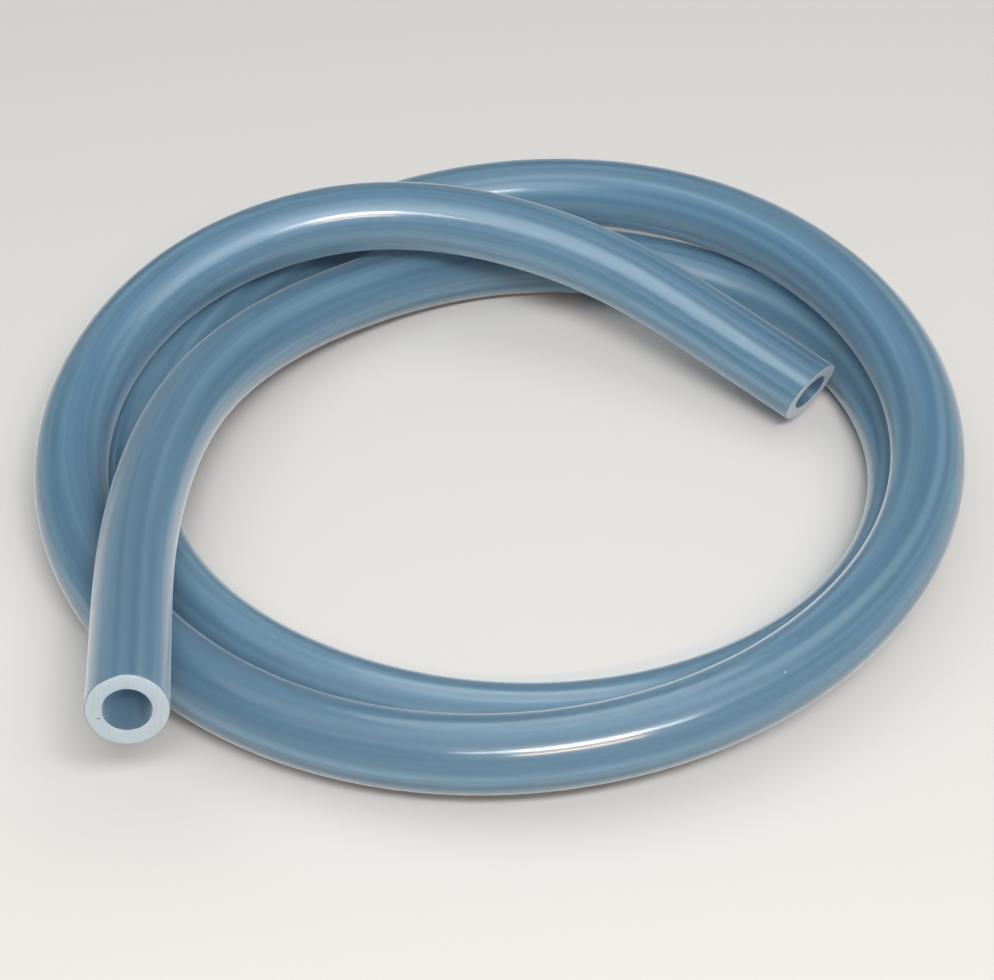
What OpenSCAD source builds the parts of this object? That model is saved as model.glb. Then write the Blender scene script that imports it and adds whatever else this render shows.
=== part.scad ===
// Length of thick-walled silicone tubing, lying in about two and a half loose turns.
// Seen from above it runs clockwise, from a raised end at the front left to an end that leans inward at the back right.

/* [Tube] */
// Outside diameter of the tube
tube_od = 12; // [10:0.5:15]
// Diameter of the bore
bore_d = 7; // [4:0.5:8.5]

/* [Coil] */
// Radius of the outer turn, to the middle of the tube
turn_radius = 70; // [62:1:110]
// Clearance between turns that rest on each other
turn_gap = 0.2; // [0.2:0.1:1]

/* [Ends] */
// Straight length at each cut end
end_straight = 18; // [14:1:22]
// How far the last end is cut out of square, in degrees
slant = 8; // [0:1:12]
// Side of the tube that this cut leaves shortest, in degrees round it from the inner side of the turn
slant_side = -30; // [-90:5:90]

/* [Smoothness] */
// Flat sides round the tube
sides = 20; // [12:4:20]
// Rings of flats from one station of the route to the next
rings_per_station = 4; // [3:1:4]

/* [Hidden] */
tube_r = tube_od / 2;
// From the middle of one turn to the middle of a turn that rests on it
pitch = tube_od + turn_gap;

// The bore is swept this much under size, so that the true round bores at the ends cut clean through its flats
sweep_allowance = 0.05;
// How far the true round bores stop short of the first and last bends
bore_stop = 2;
// They taper into the flats over this length, and by this much in diameter
taper_l = 1;
taper_d = 0.4;
bore_sides = 64;
// The raised end is swept this much too long, and a knife wider than the tube cuts it off square
waste = 3;
knife_d = 1.5 * tube_od;
preview_layers = 12;

// Stations of the route stand at even bearings, clockwise from the right as seen from above, apart from the two ends
first_bearing = 131;
even_bearings = [150 : 30 : 1020];
last_bearing = 1046;

// How the tube lies at each bearing: its inset from the outer turn and its level above the floor, in turn pitches
LAY = [
    [-0.95, 1.65], [0.50, 1.25], [1.45, 0.85], [1.70, 0.50], [1.55, 0.20], [1.05, 0.05], [0.55, 0.00],
    [0.15, 0.00], [0.15, 0.00], [0.35, 0.00], [0.65, 0.00], [0.90, 0.00], [1.00, 0.00], [0.90, 0.00],
    [0.80, 0.00], [0.65, 0.10], [0.35, 0.35], [0.15, 0.65], [0.15, 0.95], [0.15, 1.05], [0.00, 1.00],
    [-0.15, 0.90], [-0.15, 0.65], [-0.05, 0.40], [0.00, 0.25], [-0.05, 0.35], [0.00, 0.65], [0.40, 1.10],
    [1.15, 1.35], [1.95, 1.30], [2.15, 1.00], [1.85, 0.60]
];

function unit(v) = v / norm(v);

function station(bearing, lay) =
    let (reach = turn_radius - lay[0] * pitch)
    [reach * cos(bearing), -reach * sin(bearing), tube_r + lay[1] * pitch];

bearings = [first_bearing, for (b = even_bearings) b, last_bearing];
last = len(bearings) - 1;
stations = [for (i = [0 : last]) station(bearings[i], LAY[i])];

// Control points of a smooth cubic curve that passes through the stations and runs out straight at both ends
inner = [
    stations[0],
    for (i = [1 : last - 1]) stations[i] - (stations[i - 1] - 2 * stations[i] + stations[i + 1]) / 6,
    stations[last]
];
control = [2 * inner[0] - inner[1], each inner, 2 * inner[last] - inner[last - 1]];

function on_curve(i, t) =
    (pow(1 - t, 3) * control[i] + (3 * pow(t, 3) - 6 * pow(t, 2) + 4) * control[i + 1]
    + (-3 * pow(t, 3) + 3 * pow(t, 2) + 3 * t + 1) * control[i + 2] + pow(t, 3) * control[i + 3]) / 6;

curve = [
    for (i = [0 : last - 1], k = [0 : rings_per_station - 1]) on_curve(i, k / rings_per_station),
    stations[last]
];
start_way = unit(curve[0] - curve[1]);
end_way = unit(curve[len(curve) - 1] - curve[len(curve) - 2]);

// Middle of the tube from cut end to cut end
route = [
    curve[0] + end_straight * start_way,
    each curve,
    curve[len(curve) - 1] + end_straight * end_way
];
rings = len(route);

function way(i) =
    i == 0 ? -start_way : i == rings - 1 ? end_way : unit(unit(route[i + 1] - route[i]) + unit(route[i] - route[i - 1]));

// One ring of corners round the route, leaned over at the last end, which is cut out of square
function ring(i, r, past = 0) =
    let (across = unit(cross(way(i), [0, 0, 1])), up = cross(across, way(i)), lean = i == rings - 1 ? tan(slant) : 0)
    [for (k = [0 : sides - 1])
        let (a = 360 * k / sides)
        route[i] + r * (cos(a) * across + sin(a) * up - lean * cos(a - slant_side) * way(i)) - past * way(i)];

skin = [for (i = [0 : rings - 1]) each ring(i, tube_r)];

// The coil's outline is centred on the origin and its lowest point stands at the floor
low = [for (axis = [0 : 2]) min([for (p = skin) p[axis]])];
high = [for (axis = [0 : 2]) max([for (p = skin) p[axis]])];
foot = [(low[0] + high[0]) / 2, (low[1] + high[1]) / 2, low[2]];

// Corners that are swept, with the first ring pushed out by the waste
function swept(r) = [for (i = [0 : rings - 1]) each ring(i, r, i == 0 ? waste : 0)];

function corner(i, k) = i * sides + k % sides;

// Flats between two neighbouring rings, of the skin or of the bore's wall
function band(i, j, from) = [
    for (k = [0 : sides - 1]) each [
        [from + corner(i, k), from + corner(j, k), from + corner(j, k + 1)],
        [from + corner(i, k), from + corner(j, k + 1), from + corner(i, k + 1)]
    ]
];

// Flat cut face of the wall at one end
function cut_face(i, turned) = [
    for (k = [0 : sides - 1])
        let (a = corner(i, k), b = corner(i, k + 1), wall = rings * sides)
        each turned ? [[a, wall + b, b], [a, wall + a, wall + b]] : [[a, b, wall + b], [a, wall + b, wall + a]]
];

module swept_tube() {
    polyhedron(
        points = concat(swept(tube_r), swept(bore_d / 2 - sweep_allowance)),
        faces = concat(
            [for (i = [0 : rings - 2]) each band(i + 1, i, 0)],
            [for (i = [0 : rings - 2]) each band(i, i + 1, rings * sides)],
            cut_face(0, true),
            cut_face(rings - 1, false)
        ),
        convexity = preview_layers
    );
}

// Children stand on the middle of a cut end, with +Z out of its mouth
module at_mouth(mouth, out) {
    translate(mouth)
        rotate([0, acos(out[2]), atan2(out[1], out[0])])
            children();
}

// True round bore along the straight length at a cut end, from clear outside its mouth
module end_bore() {
    translate([0, 0, bore_stop - end_straight]) {
        cylinder(h = end_straight - bore_stop + tube_r, d = bore_d, $fn = bore_sides);
        translate([0, 0, -taper_l])
            cylinder(h = taper_l, d1 = bore_d - taper_d, d2 = bore_d, $fn = bore_sides);
    }
}

// What the knife takes off the raised end
module cut_off() {
    cylinder(h = 2 * waste, d = knife_d, $fn = bore_sides);
}

module silicone_tube() {
    color([0.62, 0.74, 0.82])
        translate(-foot)
            difference() {
                swept_tube();
                at_mouth(route[0], start_way) {
                    end_bore();
                    cut_off();
                }
                at_mouth(route[rings - 1], end_way)
                    end_bore();
            }
}

silicone_tube();
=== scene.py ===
# %% [markdown]
# A length of silicone tubing
#
# This lesson dresses one piece: about a metre of thick-walled, milky tubing that lies in two and a half loose turns.
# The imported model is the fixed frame. It gives the real size and place, and everything here is in metres in that frame.

# %% Load the frame
import math

import bpy
import numpy as np
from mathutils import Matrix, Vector


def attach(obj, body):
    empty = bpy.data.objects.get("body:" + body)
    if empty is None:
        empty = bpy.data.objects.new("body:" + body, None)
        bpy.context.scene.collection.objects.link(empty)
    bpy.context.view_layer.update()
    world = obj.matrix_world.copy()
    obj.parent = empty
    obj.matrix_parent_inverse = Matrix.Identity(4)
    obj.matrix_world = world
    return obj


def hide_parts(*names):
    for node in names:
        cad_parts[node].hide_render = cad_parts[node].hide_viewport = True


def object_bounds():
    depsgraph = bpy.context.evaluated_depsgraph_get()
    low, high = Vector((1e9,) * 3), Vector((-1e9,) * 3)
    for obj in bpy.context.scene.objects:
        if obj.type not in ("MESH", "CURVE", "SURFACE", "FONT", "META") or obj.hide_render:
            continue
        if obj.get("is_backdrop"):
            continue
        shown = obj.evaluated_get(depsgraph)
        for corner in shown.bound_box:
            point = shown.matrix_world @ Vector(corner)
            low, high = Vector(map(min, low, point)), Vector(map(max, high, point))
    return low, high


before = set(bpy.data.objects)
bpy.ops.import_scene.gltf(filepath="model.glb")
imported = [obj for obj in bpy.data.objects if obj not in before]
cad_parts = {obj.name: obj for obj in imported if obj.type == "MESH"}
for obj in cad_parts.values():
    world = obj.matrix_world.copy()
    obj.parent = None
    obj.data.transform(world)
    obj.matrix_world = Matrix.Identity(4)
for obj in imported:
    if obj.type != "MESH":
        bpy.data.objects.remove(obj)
cad_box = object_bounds()
bpy.ops.object.select_all(action="DESELECT")
print("CAD box:", cad_box)

# %% [markdown]
# The camera comes first, because it decides what has to look right. The photograph was taken with a long lens from
# about half a metre, looking down at 41 degrees, so the far turns look nearly as thick as the near ones.

# %% Camera
FRAME_W = 994
SENSOR_W = 36.0
FOCAL_PX = 2788.5
LOOK_DOWN = math.radians(41)
LOOK_FROM = 0.4713
LOOK_AT = Vector((-0.0001, 0.0044, 0.0001))

camera = bpy.data.objects.new("camera", bpy.data.cameras.new("camera"))
bpy.context.scene.collection.objects.link(camera)
camera.data.sensor_width = SENSOR_W
camera.data.lens = FOCAL_PX / FRAME_W * SENSOR_W
camera.data.clip_start = 0.01
camera.location = LOOK_AT + LOOK_FROM * Vector((0, -math.cos(LOOK_DOWN), math.sin(LOOK_DOWN)))
camera.rotation_euler = (math.pi / 2 - LOOK_DOWN, 0, 0)
bpy.context.scene.camera = camera
print("camera at", camera.location[:], "lens", camera.data.lens)

# %% [markdown]
# The route is the one that the CAD solid follows. The tube springs back towards the coil it was packed in, so it lies
# in turns that rest on each other, and it rises where it crosses itself. Every 30 degrees round the turns there is a
# station, which says how far inside the outer turn the tube lies and how high, both counted in turn pitches.

# %% Sizes and route of the tube
TUBE_OD = 0.012
BORE_D = 0.007
TURN_RADIUS = 0.070
TURN_GAP = 0.0002
END_STRAIGHT = 0.018
SLANT = math.radians(8)
SLANT_SIDE = math.radians(-30)
PITCH = TUBE_OD + TURN_GAP
FIRST_BEARING = 131
EVEN_BEARINGS = range(150, 1021, 30)
LAST_BEARING = 1046
LAY = (
    (-0.95, 1.65), (0.50, 1.25), (1.45, 0.85), (1.70, 0.50), (1.55, 0.20), (1.05, 0.05), (0.55, 0.00),
    (0.15, 0.00), (0.15, 0.00), (0.35, 0.00), (0.65, 0.00), (0.90, 0.00), (1.00, 0.00), (0.90, 0.00),
    (0.80, 0.00), (0.65, 0.10), (0.35, 0.35), (0.15, 0.65), (0.15, 0.95), (0.15, 1.05), (0.00, 1.00),
    (-0.15, 0.90), (-0.15, 0.65), (-0.05, 0.40), (0.00, 0.25), (-0.05, 0.35), (0.00, 0.65), (0.40, 1.10),
    (1.15, 1.35), (1.95, 1.30), (2.15, 1.00), (1.85, 0.60),
)
RINGS_PER_STATION = 22
# Rings along each straight end, as distances from the cut, close together where the cut edge is shaped
END_RINGS = (0.0, 0.00002, 0.00006, 0.00012, 0.0002, 0.0004, 0.0007, 0.0011, 0.0016, 0.0024, 0.0036, 0.0052, 0.0072,
             0.0096, 0.0124, 0.0152)


def station(bearing, lay):
    turn = math.radians(bearing)
    reach = TURN_RADIUS - lay[0] * PITCH
    return np.array((reach * math.cos(turn), -reach * math.sin(turn), TUBE_OD / 2 + lay[1] * PITCH))


def unit(v):
    return v / np.linalg.norm(v)


def smooth_curve(stations, steps):
    """Points of a smooth cubic curve through the stations, which runs out straight at both ends."""
    inner = stations.copy()
    inner[1:-1] -= (stations[:-2] - 2 * stations[1:-1] + stations[2:]) / 6
    control = np.vstack((2 * inner[:1] - inner[1:2], inner, 2 * inner[-1:] - inner[-2:-1]))
    t = (np.arange(steps) / steps)[:, None]
    blend = ((1 - t) ** 3, 3 * t**3 - 6 * t**2 + 4, -3 * t**3 + 3 * t**2 + 3 * t + 1, t**3)
    spans = [sum(b * control[i + k] for k, b in enumerate(blend)) / 6 for i in range(len(stations) - 1)]
    return np.vstack((*spans, stations[-1:]))


bearings = (FIRST_BEARING, *EVEN_BEARINGS, LAST_BEARING)
stations = np.array([station(b, lay) for b, lay in zip(bearings, LAY)])
curve = smooth_curve(stations, RINGS_PER_STATION)
start_way = unit(curve[0] - curve[1])
end_way = unit(curve[-1] - curve[-2])
before = np.array([curve[0] + (END_STRAIGHT - d) * start_way for d in END_RINGS])
after = np.array([curve[-1] + (END_STRAIGHT - d) * end_way for d in reversed(END_RINGS)])
route = np.vstack((before, curve, after))
along = np.concatenate(((0.0,), np.cumsum(np.linalg.norm(np.diff(route, axis=0), axis=1))))
print("tube length", round(along[-1], 4), "m in", len(route), "rings")

# %% [markdown]
# The tube is a skin and a bore wall, joined at two flat cut faces, so that light can pass into the wall and come out
# in the bore as it does in the real one. Each ring stands square to the route, with its first corner on the inner
# side of the turn. The last ring leans, because that end was cut a little out of square.

# %% Rings square to the route
SKIN_SIDES = 56
BORE_SIDES = 40
# Stands for the distance from a cut wherever no cut edge is near
FAR_FROM_CUT = 1.0

way = np.gradient(route, axis=0)
way[: len(END_RINGS)] = -start_way
way[-len(END_RINGS):] = end_way
way /= np.linalg.norm(way, axis=1)[:, None]
across = np.cross(way, (0, 0, 1))
across /= np.linalg.norm(across, axis=1)[:, None]
up = np.cross(across, way)
# How much each ring leans: all of it at the slanted cut, and less along the straight end behind it
lean = np.zeros(len(route))
lean[-len(END_RINGS):] = math.tan(SLANT) * (1 - np.array(tuple(reversed(END_RINGS))) / END_STRAIGHT)
from_start = np.full(len(route), FAR_FROM_CUT)
from_start[: len(END_RINGS)] = END_RINGS
from_end = from_start[::-1]


def around(sides):
    return 2 * math.pi * np.arange(sides) / sides


def rings_of(radius):
    """One ring of corners round each point of the route, where radius has a row for each ring."""
    a = around(radius.shape[1])
    spoke = np.cos(a)[None, :, None] * across[:, None] + np.sin(a)[None, :, None] * up[:, None]
    pulled = (lean[:, None] * np.cos(a - SLANT_SIDE)[None, :])[:, :, None] * way[:, None]
    return route[:, None] + radius[:, :, None] * (spoke - pulled)


# %% [markdown]
# A knife doesn't leave a perfect edge. Both cut edges are rounded by a fraction of a millimetre, which gives the thin
# bright line round the face. The raised end has a short flat where the blade started, and the other end has a small
# nick. All three are changes to the radius of the last few rings, so they are real shape and not only shading.

# %% Cut edges
EDGE_ROUND = 0.00008
BORE_EDGE_ROUND = 0.00006
FLAT_AT, FLAT_HALF, FLAT_RUN, FLAT_SHARE = math.radians(113), math.radians(17), 0.0014, 0.55
NICK_AT, NICK_HALF, NICK_DEPTH, NICK_RUN = math.radians(187), math.radians(9), 0.00030, 0.0010


def rounding(distance, radius):
    """How far a rounded edge lies inside a sharp one, at a distance from the cut."""
    left = np.clip(radius - distance, 0, radius)
    return radius - np.sqrt(radius**2 - left**2)


def turned_from(a, middle):
    return (a - middle + math.pi) % (2 * math.pi) - math.pi


def fade(distance, run):
    return np.clip(1 - distance / run, 0, 1) ** 2


a = around(SKIN_SIDES)
skin_r = np.full((len(route), SKIN_SIDES), TUBE_OD / 2)
chord = TUBE_OD / 2 * (1 - math.cos(FLAT_HALF) / np.cos(np.clip(turned_from(a, FLAT_AT), -FLAT_HALF, FLAT_HALF)))
skin_r -= fade(from_start, FLAT_RUN)[:, None] * FLAT_SHARE * chord
skin_r -= fade(from_end, NICK_RUN)[:, None] * NICK_DEPTH * np.exp(-(turned_from(a, NICK_AT) / NICK_HALF) ** 2)
near_cut = np.minimum(from_start, from_end)
skin_r -= rounding(near_cut, EDGE_ROUND)[:, None]
bore_r = np.full((len(route), BORE_SIDES), BORE_D / 2) + rounding(near_cut, BORE_EDGE_ROUND)[:, None]

skin, bore = rings_of(skin_r), rings_of(bore_r)
low, high = skin.min((0, 1)), skin.max((0, 1))
foot = np.array(((low[0] + high[0]) / 2, (low[1] + high[1]) / 2, low[2]))
skin, bore, route = skin - foot, bore - foot, route - foot
print("outline", high - low, "flat depth", FLAT_SHARE * chord.max())

# %% Mesh of the tube
def wall_faces(first, rings, sides, turned):
    """Quads between neighbouring rings of corners that start at index first."""
    faces = []
    for i in range(rings - 1):
        for k in range(sides):
            a, b = first + i * sides + k, first + i * sides + (k + 1) % sides
            quad = (a, b, b + sides, a + sides)
            faces.append(quad[::-1] if turned else quad)
    return faces


def cut_faces(outer, inner, turned):
    """Triangles between the last corners of the skin and of the bore, walked round side by side."""
    faces, i, j = [], 0, 0
    while i < SKIN_SIDES or j < BORE_SIDES:
        a, b = outer + i % SKIN_SIDES, inner + j % BORE_SIDES
        if j == BORE_SIDES or (i < SKIN_SIDES and i * BORE_SIDES <= j * SKIN_SIDES):
            i += 1
            face = (a, outer + i % SKIN_SIDES, b)
        else:
            j += 1
            face = (a, inner + j % BORE_SIDES, b)
        faces.append(face[::-1] if turned else face)
    return faces


ring_count = len(route)
bore_start = ring_count * SKIN_SIDES
points = np.vstack((skin.reshape(-1, 3), bore.reshape(-1, 3)))
skin_faces = wall_faces(0, ring_count, SKIN_SIDES, True)
bore_faces = wall_faces(bore_start, ring_count, BORE_SIDES, False)
start_cut = cut_faces(0, bore_start, False)
end_cut = cut_faces((ring_count - 1) * SKIN_SIDES, bore_start + (ring_count - 1) * BORE_SIDES, True)
mesh = bpy.data.meshes.new("tube")
mesh.from_pydata(points.tolist(), [], skin_faces + bore_faces + start_cut + end_cut)
mesh.validate()
tube = bpy.data.objects.new("silicone_tubing", mesh)
bpy.context.scene.collection.objects.link(tube)

volume = 0.0
mesh.calc_loop_triangles()
for t in mesh.loop_triangles:
    a, b, c = (mesh.vertices[i].co for i in t.vertices)
    volume += a.dot(b.cross(c)) / 6
print("triangles", len(mesh.loop_triangles), "volume cm3", volume * 1e6)

# %% [markdown]
# The material needs to know where it is. Two attributes say which faces are cut and which line the bore, and a third,
# flow, gives each corner its place on the tube as if it were pulled straight, so that lines can run along it.

# %% Places on the tube
walls = len(skin_faces) + len(bore_faces)
is_cut = [0.0] * walls + [1.0] * (len(start_cut) + len(end_cut))
is_bore = [0.0] * len(skin_faces) + [1.0] * len(bore_faces) + [0.0] * (len(start_cut) + len(end_cut))
mesh.polygons.foreach_set("use_smooth", [mark == 0.0 for mark in is_cut])
mesh.attributes.new("cut", "FLOAT", "FACE").data.foreach_set("value", is_cut)
mesh.attributes.new("bore", "FLOAT", "FACE").data.foreach_set("value", is_bore)


def pulled_straight(radius):
    a = np.broadcast_to(around(radius.shape[1]), radius.shape)
    runs = np.broadcast_to(along[:, None], radius.shape)
    return np.stack((radius * np.cos(a), radius * np.sin(a), runs), axis=-1).reshape(-1, 3)


flow = np.vstack((pulled_straight(skin_r), pulled_straight(bore_r)))
mesh.attributes.new("flow", "FLOAT_VECTOR", "POINT").data.foreach_set("vector", flow.ravel())
print("marked", sum(is_cut), "cut faces and", sum(is_bore), "bore faces")

# %% [markdown]
# Silicone rubber is nearly clear, and the fine filler in it scatters a little light, blue more than red. So the tube is
# milky and blue, the turns behind it show through faintly, and both silhouettes are paler than the middle. It could be
# made with a scattering volume, which is slow and noisy. Here one Principled shader lets a little over half of the
# light pass, bent by the skin and by the bore, and spreads the rest under the skin. It renders quickly, at the price of
# a tube that looks a little more solid and more evenly blue than the real one.

# %% Shader and node helpers
silicone = bpy.data.materials.new("milky_silicone")
silicone.use_nodes = True
nodes, links = silicone.node_tree.nodes, silicone.node_tree.links
shader = nodes["Principled BSDF"]


def give(socket, value):
    """Set a socket to a number or a colour, or link it to another node's output."""
    if isinstance(value, bpy.types.NodeSocket):
        links.new(value, socket)
    else:
        socket.default_value = value


def add(kind, values=(), **settings):
    """A new node with its settings made and its sockets given."""
    made = nodes.new("ShaderNode" + kind)
    for name, value in settings.items():
        setattr(made, name, value)
    for socket, value in dict(values).items():
        give(made.inputs[socket], value)
    return made


def place(name):
    return add("Attribute", attribute_name=name)


def math_node(operation, a, b):
    return add("Math", {0: a, 1: b}, operation=operation).outputs[0]


def blend_number(share, low, high):
    return add("Mix", {"Factor": share, "A": low, "B": high}).outputs["Result"]


def blend_colour(share, low, high):
    # A colour Mix has its own A, B and Result, which stand at 6, 7 and 2 beside those for numbers
    return add("Mix", {"Factor": share, 6: low, 7: high}, data_type="RGBA").outputs[2]


cut = place("cut").outputs["Fac"]
lining = place("bore").outputs["Fac"]
straight = place("flow").outputs["Vector"]
print("places read:", [n.attribute_name for n in nodes if n.type == "ATTRIBUTE"])

# %% [markdown]
# The die of the extruder draws the tube out, so everything in its wall runs lengthwise. One noise, stretched along flow
# until it is a bundle of threads, is read twice: about a millimetre wide it makes paler and darker streaks in the wall,
# and finer it makes the drawn lines that break up the gloss. The knife leaves its own lines on the cut faces, all one
# way, so a third noise is stretched across them.

# %% Streaks, drawn lines and knife lines
STREAK_SCALE, DRAWN_SCALE, KNIFE_SCALE = 620.0, 1800.0, 2600.0
ALONG_STRETCH, KNIFE_STRETCH = 0.005, 0.12

drawn_out = add("Mapping", {"Vector": straight, "Scale": (1.0, 1.0, ALONG_STRETCH)}).outputs["Vector"]
streaks = add("TexNoise", {"Vector": drawn_out, "Scale": STREAK_SCALE, "Detail": 1.0, "Roughness": 0.7}).outputs["Fac"]
streaks = add("MapRange", {"Value": streaks, "From Min": 0.28, "From Max": 0.72}).outputs["Result"]
drawn = add("TexNoise", {"Vector": drawn_out, "Scale": DRAWN_SCALE, "Detail": 0.0}).outputs["Fac"]
knife_way = add("Mapping", {"Vector": straight, "Scale": (1.0, KNIFE_STRETCH, 1.0)}).outputs["Vector"]
knife = add("TexNoise", {"Vector": knife_way, "Scale": KNIFE_SCALE, "Detail": 0.0}).outputs["Fac"]
print("streaks about", round(1000 / STREAK_SCALE, 1), "mm wide, drawn lines", round(1000 / DRAWN_SCALE, 1), "mm")

# %% [markdown]
# Silicone draws dust, and on milky blue a speck shows. A Voronoi pattern gives one grain to each cell of about 5 mm.
# The cell's random colour decides whether the grain shows, how large it is, and whether it is light or dark.

# %% Dust
GRAINS_PER_M = 210.0
GRAIN_RARE, GRAIN_GROW, GRAIN_DARK = 0.55, 0.075, 0.65

grains = add("TexVoronoi", {"Vector": add("TexCoord").outputs["Object"], "Scale": GRAINS_PER_M})
chance = add("SeparateColor", {"Color": grains.outputs["Color"]}).outputs
grain_reach = math_node("MULTIPLY", math_node("SUBTRACT", chance["Red"], GRAIN_RARE), GRAIN_GROW)
dust = math_node("LESS_THAN", grains.outputs["Distance"], grain_reach)
is_dark = math_node("GREATER_THAN", chance["Green"], GRAIN_DARK)
grain_colour = blend_colour(is_dark, (0.85, 0.87, 0.88, 1), (0.06, 0.08, 0.10, 1))
print("largest grain", round(2000 * (1 - GRAIN_RARE) * GRAIN_GROW / GRAINS_PER_M, 2), "mm across")

# %% [markdown]
# The raised cut face has one short dark scratch left of the bore. It is an oval in flow, which at that face is simply
# across and up, so it stays on the face from every side.

# %% Scratch on the raised cut face
SCRATCH_AT = (-0.0041, -0.0012, 0.0)
SCRATCH_HALF = (0.00040, 0.00010, 0.0005)

shift = [-at / half for at, half in zip(SCRATCH_AT, SCRATCH_HALF)]
grow = [1 / half for half in SCRATCH_HALF]
scratch_way = add("Mapping", {"Vector": straight, "Location": shift, "Scale": grow}).outputs["Vector"]
scratch = math_node("LESS_THAN", add("VectorMath", {0: scratch_way}, operation="LENGTH").outputs["Value"], 1.0)
print("scratch", 2000 * SCRATCH_HALF[0], "mm long")

# %% [markdown]
# The layers lie in the same order in each property: the wall, then the lining of the bore, the cut faces, and the
# scratch and the dust on top. Cut rubber is matt and nearly opaque, because the knife roughens it. What is the same all
# over the tube is set on the shader itself: how strongly it bends light, the light that spreads under the skin, a thin
# pale sheen at the silhouettes, and a soft second gloss around each highlight.

# %% Colour, clarity, gloss and relief
body = blend_colour(streaks, (0.14, 0.30, 0.455, 1), (0.225, 0.40, 0.535, 1))
body = blend_colour(lining, body, (0.30, 0.49, 0.67, 1))
body = blend_colour(cut, body, blend_colour(knife, (0.34, 0.42, 0.48, 1), (0.41, 0.48, 0.53, 1)))
body = blend_colour(scratch, body, (0.10, 0.13, 0.15, 1))
body = blend_colour(dust, body, grain_colour)
give(shader.inputs["Base Color"], body)

clear = blend_number(streaks, 0.66, 0.58)
clear = blend_number(lining, clear, 0.86)
clear = blend_number(cut, clear, 0.10)
clear = blend_number(dust, clear, 0.0)
give(shader.inputs["Transmission Weight"], clear)

gloss = blend_number(drawn, 0.08, 0.18)
gloss = blend_number(cut, gloss, 0.50)
gloss = blend_number(dust, gloss, 0.80)
give(shader.inputs["Roughness"], gloss)

relief = add("Bump", {"Height": blend_number(cut, drawn, knife), "Strength": 0.6, "Distance": 0.00002})
give(shader.inputs["Normal"], relief.outputs["Normal"])

shader.subsurface_method = "BURLEY"
for name, value in (
    ("IOR", 1.41),
    ("Subsurface Weight", 1.0), ("Subsurface Radius", (0.7, 0.9, 1.0)), ("Subsurface Scale", 0.002),
    ("Coat Weight", 0.4), ("Coat Roughness", 0.30),
    ("Sheen Weight", 0.3), ("Sheen Roughness", 0.35), ("Sheen Tint", (0.85, 0.95, 1.0, 1)),
):
    shader.inputs[name].default_value = value
mesh.materials.append(silicone)
print("silicone has", len(nodes), "nodes")

# %% [markdown]
# Light that enters the tube crosses the skin, the bore and often the turn behind it, so it needs several bounces before
# it reaches the floor. Seven keep the render short. The Standard view keeps the blue of the tube as bright as in the
# photograph, where the default view greyed it.

# %% Bounces and view
cycles = bpy.context.scene.cycles
cycles.glossy_bounces, cycles.transmission_bounces, cycles.max_bounces = 3, 7, 7
bpy.context.scene.view_settings.view_transform = "Standard"
print("bounces", cycles.max_bounces, "view", bpy.context.scene.view_settings.view_transform)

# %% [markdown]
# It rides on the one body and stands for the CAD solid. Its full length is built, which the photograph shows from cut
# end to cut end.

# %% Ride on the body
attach(tube, "root")
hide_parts("silicone_tube")

# %% [markdown]
# The floor is plain and pale, and it is only stage. The panels light its middle, so it darkens far out, and a very low
# view shows that and looks past its edge.

# %% Floor
FLOOR_SIZE = 4
PALE_GREY = (0.64, 0.64, 0.63, 1)

bpy.ops.mesh.primitive_plane_add(size=FLOOR_SIZE)
floor = bpy.context.object
floor.name = "floor"
floor_paint = bpy.data.materials.new("pale_floor")
floor_paint.use_nodes = True
floor_shader = floor_paint.node_tree.nodes["Principled BSDF"]
floor_shader.inputs["Base Color"].default_value = PALE_GREY
floor_shader.inputs["Roughness"].default_value = 0.8
floor.data.materials.append(floor_paint)
floor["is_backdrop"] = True
print("floor", floor.dimensions[:])

# %% [markdown]
# A glossy tube shows its lights as lines. A long narrow panel on the camera's side draws the white streak on the front
# turn, and a dimmer, longer one fades out its ends. A thin warm strip below them gives the warm line under the streak.
# A large panel overhead is mirrored as the broad pale band on the upper side of each turn.

# %% Light panels
PANEL_DISTANCE = 1.0


def soft_box(name, azimuth, elevation, wide, high, power, colour):
    """A light panel that faces the coil. Azimuth 0 is the side of the camera, and positive is to its right."""
    lamp = bpy.data.lights.new(name, "AREA")
    lamp.shape = "RECTANGLE"
    lamp.size, lamp.size_y = wide, high
    lamp.energy, lamp.color = power, colour
    box = bpy.data.objects.new(name, lamp)
    bpy.context.scene.collection.objects.link(box)
    a, e = math.radians(azimuth), math.radians(elevation)
    away = Vector((math.sin(a) * math.cos(e), -math.cos(a) * math.cos(e), math.sin(e)))
    box.location = PANEL_DISTANCE * away
    box.rotation_euler = away.to_track_quat("Z", "Y").to_euler()
    print(name, "at", [round(c, 2) for c in box.location], "power", power)


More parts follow.
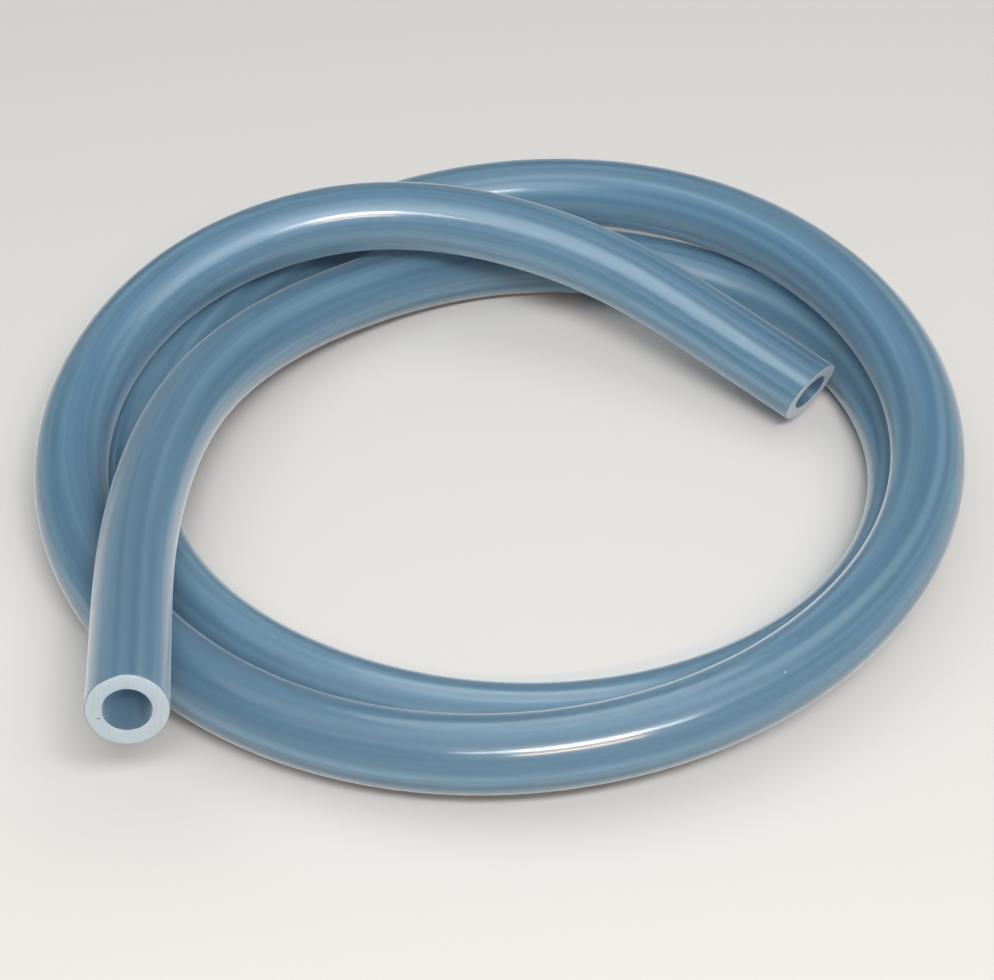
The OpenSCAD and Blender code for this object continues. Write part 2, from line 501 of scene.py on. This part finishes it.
soft_box("key", 9, 50, 0.34, 0.09, 5.0, (1.0, 1.0, 1.0))
soft_box("key_ends", 9, 50, 0.70, 0.10, 3.2, (1.0, 1.0, 1.0))
soft_box("warm_strip", 9, 39, 0.40, 0.03, 2.0, (1.0, 0.62, 0.32))
soft_box("overhead", 0, 86, 1.40, 1.07, 4.2, (1.0, 1.0, 0.97))

# %% [markdown]
# In the photograph the inner side of every turn is paler than the outer side. A weak round lamp above the middle of the
# coil imitates this. It lights the tube alone, so that it leaves no bright spot on the floor.

# %% Glow above the middle
glow_lamp = bpy.data.lights.new("centre_glow", "POINT")
glow_lamp.energy, glow_lamp.color, glow_lamp.shadow_soft_size = 0.15, (0.97, 1.0, 0.96), 0.04
centre_glow = bpy.data.objects.new("centre_glow", glow_lamp)
bpy.context.scene.collection.objects.link(centre_glow)
centre_glow.location = (0.0, 0.0, 0.10)
lit_by_glow = bpy.data.collections.new("lit_by_glow")
lit_by_glow.objects.link(tube)
centre_glow.light_linking.receiver_collection = lit_by_glow

# %% [markdown]
# The room around is dim, so that the dark parts of the tube stay dark. A view from low down sees past the floor, and
# there the camera alone is shown a pale wall.

# %% Room
ROOM_STRENGTH = 0.26

world = bpy.data.worlds.new("studio")
world.use_nodes = True
room, room_links = world.node_tree.nodes, world.node_tree.links
room["Background"].inputs["Color"].default_value = (0.9, 0.95, 1.0, 1)
room["Background"].inputs["Strength"].default_value = ROOM_STRENGTH
pale_wall = room.new("ShaderNodeBackground")
pale_wall.inputs["Color"].default_value = PALE_GREY
by_ray, rays = room.new("ShaderNodeMixShader"), room.new("ShaderNodeLightPath")
room_links.new(rays.outputs["Is Camera Ray"], by_ray.inputs[0])
room_links.new(room["Background"].outputs[0], by_ray.inputs[1])
room_links.new(pale_wall.outputs[0], by_ray.inputs[2])
room_links.new(by_ray.outputs[0], room["World Output"].inputs["Surface"])
bpy.context.scene.world = world
print("room strength", ROOM_STRENGTH)

# %% Finish
boxes = {"cad": cad_box, "visual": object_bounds()}
boxes = {name: [list(map(float, corner)) for corner in box] for name, box in boxes.items()}
print("boxes", boxes)
